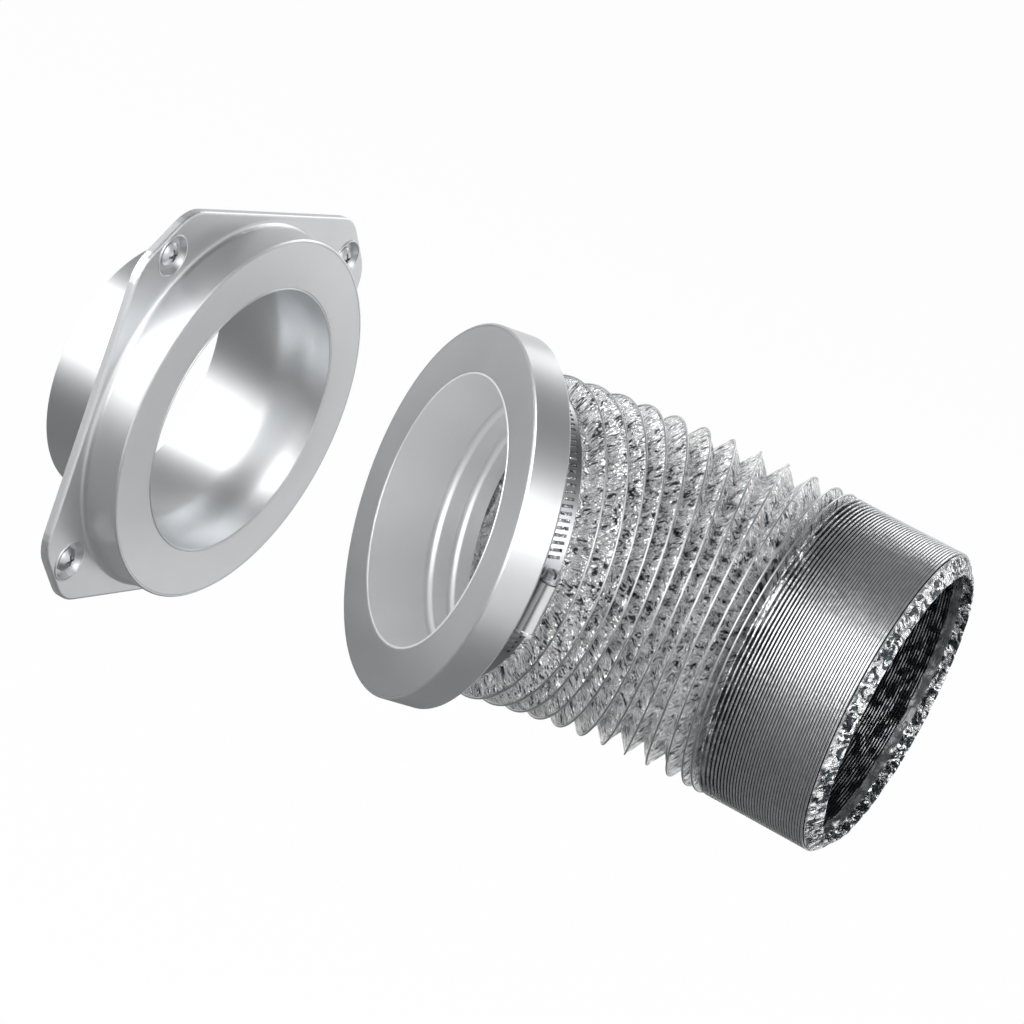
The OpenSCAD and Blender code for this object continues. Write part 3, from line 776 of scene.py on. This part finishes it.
finishes = {
    # light and dark tint, and roughness from and to
    "flange": satinMetal("flangeSatin", (0.66, 0.67, 0.68), (0.60, 0.61, 0.625), (0.36, 0.42), metallic=0.9),
    "face": satinMetal("faceSatin", (0.67, 0.68, 0.69), (0.63, 0.64, 0.65), (0.44, 0.50), metallic=0.7),
    "tube": satinMetal("tubeSatin", (0.72, 0.73, 0.74), (0.64, 0.655, 0.67), (0.36, 0.42)),
    "rim": satinMetal("rimSatin", (0.61, 0.62, 0.63), (0.55, 0.56, 0.57), (0.36, 0.42), metallic=0.9),
    # a darker copy of the face's satin for the duct half's face: painted shade
    "dockFace": satinMetal("dockFaceShadedSatin", (0.56, 0.57, 0.58), (0.51, 0.52, 0.53), (0.36, 0.42), metallic=0.9),
    "collar": satinMetal("collarSatin", (0.86, 0.865, 0.87), (0.79, 0.80, 0.81), (0.38, 0.46), metallic=0.6),
    "magnet": satinMetal("magnetPlate", (0.70, 0.70, 0.71), (0.60, 0.60, 0.62), (0.15, 0.25)),
    "screw": satinMetal("screwZinc", (0.66, 0.67, 0.69), (0.5, 0.51, 0.53), (0.25, 0.38),
                        cloud=400.0, grain=5000.0, bump=0.05),
    "keeper": satinMetal("keeperSteel", (0.55, 0.55, 0.57), (0.42, 0.42, 0.44), (0.3, 0.45)),
    "barrel": satinMetal("barrelSteel", (0.80, 0.81, 0.82), (0.66, 0.67, 0.68), (0.2, 0.28),
                         cloud=120.0, grain=3500.0, bump=0.03),
    # the band and tail are a darker steel than the barrel: painted shade on the band
    "clamp": satinMetal("clampShadedSteel", (0.50, 0.51, 0.53), (0.36, 0.37, 0.39), (0.28, 0.38),
                        cloud=90.0, grain=3000.0, bump=0.03),
    "wireSteel": satinMetal("wireSteel", (0.62, 0.63, 0.64), (0.46, 0.47, 0.48), (0.28, 0.38),
                            cloud=300.0, grain=5000.0, bump=0.02),
    # the foils' scales are those of the big and the fine facets; their light and dark tints are painted
    # reflections
    "foil": crumpledMetal(
        "crumpledFoil", (0.99, 0.992, 0.995), (0.055, 0.065, 0.085), metallic=0.75, paintedDarkShare=1.0,
        paintedDarkFrom=0.53, paintedPatchShare=0.30, scales=(430.0, 1300.0), relief=0.0024),
    # a lighter copy of the foil for its inside, with paler painted dark facets: painted light
    "foilInsidePaintedLight": crumpledMetal(
        "foilInsidePaintedLight", (0.96, 0.965, 0.97), (0.25, 0.27, 0.30), metallic=0.5, paintedDarkShare=0.8,
        paintedDarkFrom=0.5, paintedPatchShare=0.2, scales=(400.0, 1200.0), relief=0.0014),
    "foldedFoil": crumpledMetal(
        "foldedFoil", (0.97, 0.975, 0.98), (0.06, 0.075, 0.085), metallic=0.95, paintedDarkShare=1.0,
        paintedDarkFrom=0.36, paintedPatchShare=0.8, scales=(270.0, 900.0), relief=0.0026,
        plain=(0.50, 0.51, 0.52), plainRough=0.3),
    # a darker copy of the folded foil for the inside of the gathered end: painted shade
    "foldedInsidePaintedShade": crumpledMetal(
        "foldedInsidePaintedShade", (0.45, 0.47, 0.49), (0.05, 0.06, 0.07), metallic=0.95, paintedDarkShare=0.9,
        paintedDarkFrom=0.3, paintedPatchShare=0.8, scales=(300.0, 900.0), relief=0.0015,
        plain=(0.40, 0.42, 0.44), plainRough=0.25),
}

nodeFinishes = {
    "wall_plate": "flange", "wall_face": "face", "wall_spigot": "tube", "wall_magnets": "magnet",
    "mounting_screws": "screw", "duct_rim": "rim", "duct_face": "dockFace", "duct_keeper": "keeper",
    "duct_collar": "collar", "clamp_band": "clamp", "clamp_housing": "barrel", "clamp_screw": "screw",
    "clamp_tail": "clamp",
}
for node, finish in nodeFinishes.items():
    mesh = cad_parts[node].data
    mesh.materials.clear()
    mesh.materials.append(finishes[finish])
print("finishes made")


def blendNear(piece):
    # the straight turns next to the clamp
    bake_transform(piece)


def blendCurve(piece):
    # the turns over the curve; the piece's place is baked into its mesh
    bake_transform(piece)


cuff = foilCuff()
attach(cuff, "duct_half")
for number in range(1, 5):
    for piece in (foilSection(number), crestWire(number)):
        if number == 1:
            blendNear(piece)
        else:
            blendCurve(piece)
    print("foil section", number)

# each gathered piece ends on the first ring of the next
ridges = gatherForm["ridges"]
firstMiddle, firstFar = gatherForm["nearRidges"], ridges - gatherForm["farRidges"]
nearRows = gatheredRows(0, firstMiddle) + gatheredRows(firstMiddle, firstMiddle + 1)[:1]
middleRows = gatheredRows(firstMiddle, firstFar) + gatheredRows(firstFar, firstFar + 1)[:1]
farRows = gatheredRows(firstFar, ridges) + lipRows()
gatheredNear = gatheredPiece("gatheredNear", "gathered_near", nearRows)
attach(gatheredNear, "duct_far")
gatheredMiddle = gatheredPiece("gatheredMiddle", "gathered_middle", middleRows)
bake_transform(gatheredMiddle)
gatheredFar = gatheredPiece("gatheredFar", "gathered_far", farRows)
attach(gatheredFar, "free_end")
print("gathered end made")


floorLook = {
    "height": -0.36,
    "size": 160.0,
    "tone": 0.9,
    "glow": 0.97,
}


def makeFloor():
    look = floorLook
    deselectAll()
    bpy.ops.mesh.primitive_plane_add(size=look["size"], location=(0, 0, look["height"]))
    floor = bpy.context.object
    floor.name = "floor"
    bpy.ops.object.transform_apply(location=True)
    material, tree, shader = newFinish("paleFloor", 0.0)
    shader.inputs["Base Color"].default_value = (look["tone"], look["tone"], look["tone"], 1)
    shader.inputs["Roughness"].default_value = 0.9
    shader.inputs["Specular IOR Level"].default_value = 0.0
    # white where the camera and the metal see it, with the shadow kept
    rays = addNode(tree, "ShaderNodeLightPath")
    seen = addNode(tree, "ShaderNodeMath", operation="ADD")
    through = addNode(tree, "ShaderNodeMath", operation="ADD", use_clamp=True)
    share = addNode(tree, "ShaderNodeMath", {1: look["glow"]}, operation="MULTIPLY")
    glow = addNode(tree, "ShaderNodeEmission")
    mix = addNode(tree, "ShaderNodeMixShader")
    wire = tree.links.new
    wire(rays.outputs["Is Camera Ray"], seen.inputs[0])
    wire(rays.outputs["Is Glossy Ray"], seen.inputs[1])
    wire(seen.outputs["Value"], through.inputs[0])
    wire(rays.outputs["Is Transmission Ray"], through.inputs[1])
    wire(through.outputs["Value"], share.inputs[0])
    wire(share.outputs["Value"], mix.inputs["Fac"])
    wire(shader.outputs["BSDF"], mix.inputs[1])
    wire(glow.outputs["Emission"], mix.inputs[2])
    wire(mix.outputs["Shader"], tree.nodes["Material Output"].inputs["Surface"])
    floor.data.materials.append(material)


# a dark card under the metal, seen in its reflections only
cardLook = {
    "from": (-2.2, -1.8),
    "to": (0.55, 0.55),
    "overFloor": 0.01,
    "darkest": 0.096,
    "palest": 0.256,
    "cloudScale": 1.6,
    "cloudRange": (0.35, 0.65),
}


def makeCard():
    look = cardLook
    (left, front), (right, back) = look["from"], look["to"]
    deselectAll()
    bpy.ops.mesh.primitive_plane_add(size=1, location=(0, 0, 0))
    card = bpy.context.object
    card.name = "darkCard"
    card.scale = (right - left, back - front, 1)
    card.location = ((left + right) / 2, (front + back) / 2, floorLook["height"] + look["overFloor"])
    bpy.ops.object.transform_apply(location=True, scale=True)
    material, tree, _ = newFinish("cardTone")
    place = addNode(tree, "ShaderNodeTexCoord")
    clouds = addNode(tree, "ShaderNodeTexNoise", {"Scale": look["cloudScale"]})
    least, most = look["cloudRange"]
    level = addNode(tree, "ShaderNodeMapRange", {"From Min": least, "From Max": most,
                                                 "To Min": look["darkest"], "To Max": look["palest"]})
    glow = addNode(tree, "ShaderNodeEmission")
    wire = tree.links.new
    wire(place.outputs["Object"], clouds.inputs["Vector"])
    wire(clouds.outputs["Fac"], level.inputs["Value"])
    wire(level.outputs["Result"], glow.inputs["Strength"])
    wire(glow.outputs["Emission"], tree.nodes["Material Output"].inputs["Surface"])
    card.data.materials.append(material)
    for seenBy in ("camera", "diffuse", "shadow", "transmission"):
        setattr(card, "visible_" + seenBy, False)


skyLook = {
    # height of a direction, and how bright the studio is there
    "levels": [(0.0, 0.9), (0.49, 1.0), (0.53, 1.2), (0.575, 1.15), (0.66, 0.62), (0.74, 0.66), (0.82, 0.62),
               (0.90, 0.30), (0.96, 0.13), (1.0, 0.10)],
    "most": 1.25,
    # how much lower the bright band lies on one side, and on which
    "swing": 0.10,
    "swingTowards": 40,
}


def makeWorld():
    look = skyLook
    world = bpy.data.worlds.new("studio")
    bpy.context.scene.world = world
    world.use_nodes = True
    tree = world.node_tree
    background = tree.nodes["Background"]
    swing = math.radians(look["swingTowards"])
    upward = (math.cos(swing) * look["swing"], math.sin(swing) * look["swing"], 1)
    place = addNode(tree, "ShaderNodeTexCoord")
    turn = addNode(tree, "ShaderNodeVectorMath", {1: upward}, operation="DOT_PRODUCT")
    half = addNode(tree, "ShaderNodeMath", {1: 0.5, 2: 0.5}, operation="MULTIPLY_ADD")
    sky = addNode(tree, "ShaderNodeFloatCurve")
    line = sky.mapping.curves[0]
    for x, level in look["levels"][1:-1]:
        line.points.new(x, level / look["most"])
    line.points[0].location = (0, look["levels"][0][1] / look["most"])
    line.points[-1].location = (1, look["levels"][-1][1] / look["most"])
    sky.mapping.update()
    level = addNode(tree, "ShaderNodeMath", {1: look["most"]}, operation="MULTIPLY")
    # plain white behind everything for the camera
    rays = addNode(tree, "ShaderNodeLightPath")
    white = addNode(tree, "ShaderNodeMix", {"B": 1.0}, data_type="FLOAT")
    wire = tree.links.new
    wire(place.outputs["Generated"], turn.inputs[0])
    wire(turn.outputs["Value"], half.inputs[0])
    wire(half.outputs["Value"], sky.inputs["Value"])
    wire(sky.outputs["Value"], level.inputs[0])
    wire(rays.outputs["Is Camera Ray"], white.inputs["Factor"])
    wire(level.outputs["Value"], white.inputs["A"])
    wire(white.outputs["Result"], background.inputs["Strength"])
    background.inputs["Color"].default_value = (1, 1, 1, 1)


softboxes = {
    # place, what it points at, width, height, power
    "keyLight": ((-0.95, -1.45, 1.25), (0.15, 0.0, 0.0), 1.7, 1.1, 24),
    "mouthLight": ((-0.35, -1.75, 0.4), (0.09, 0.04, 0.0), 0.8, 0.8, 11),
    "sideLight": ((1.9, -0.55, 0.75), (0.1, 0.0, 0.0), 0.9, 1.1, 10),
    "backLight": ((0.2, 1.9, 1.25), (0.1, 0.0, 0.0), 1.6, 0.8, 10),
    "fillLight": ((0.90, -1.75, 0.95), (0.17, 0.04, 0.0), 1.5, 1.1, 12),
}


def addSoftbox(name, place, target, width, height, power):
    light = bpy.data.lights.new(name, "AREA")
    light.shape = "RECTANGLE"
    light.size = width
    light.size_y = height
    light.energy = power
    lamp = bpy.data.objects.new(name, light)
    bpy.context.scene.collection.objects.link(lamp)
    lamp.location = place
    lamp.rotation_euler = (Vector(target) - Vector(place)).to_track_quat("-Z", "Y").to_euler()


cameraLook = {
    "place": (0.532, -0.896, 0.2632),
    "forward": (-0.3993, 0.8836, -0.2447),
    "up": (-0.4162, 0.0631, 0.9071),
    "lens": 105.47,
    "sensor": 36.0,
}


def makeCamera():
    look = cameraLook
    camera = bpy.data.cameras.new("camera")
    camera.lens = look["lens"]
    camera.sensor_width = look["sensor"]
    holder = bpy.data.objects.new("camera", camera)
    bpy.context.scene.collection.objects.link(holder)
    forward = Vector(look["forward"]).normalized()
    right = forward.cross(Vector(look["up"])).normalized()
    turn = Matrix((right, right.cross(forward), -forward)).transposed().to_4x4()
    holder.matrix_world = Matrix.Translation(look["place"]) @ turn
    bpy.context.scene.camera = holder


makeFloor()
makeCard()
makeWorld()
for name, setting in softboxes.items():
    addSoftbox(name, *setting)
makeCamera()
bpy.context.scene.view_settings.view_transform = "Standard"
print("stage made")
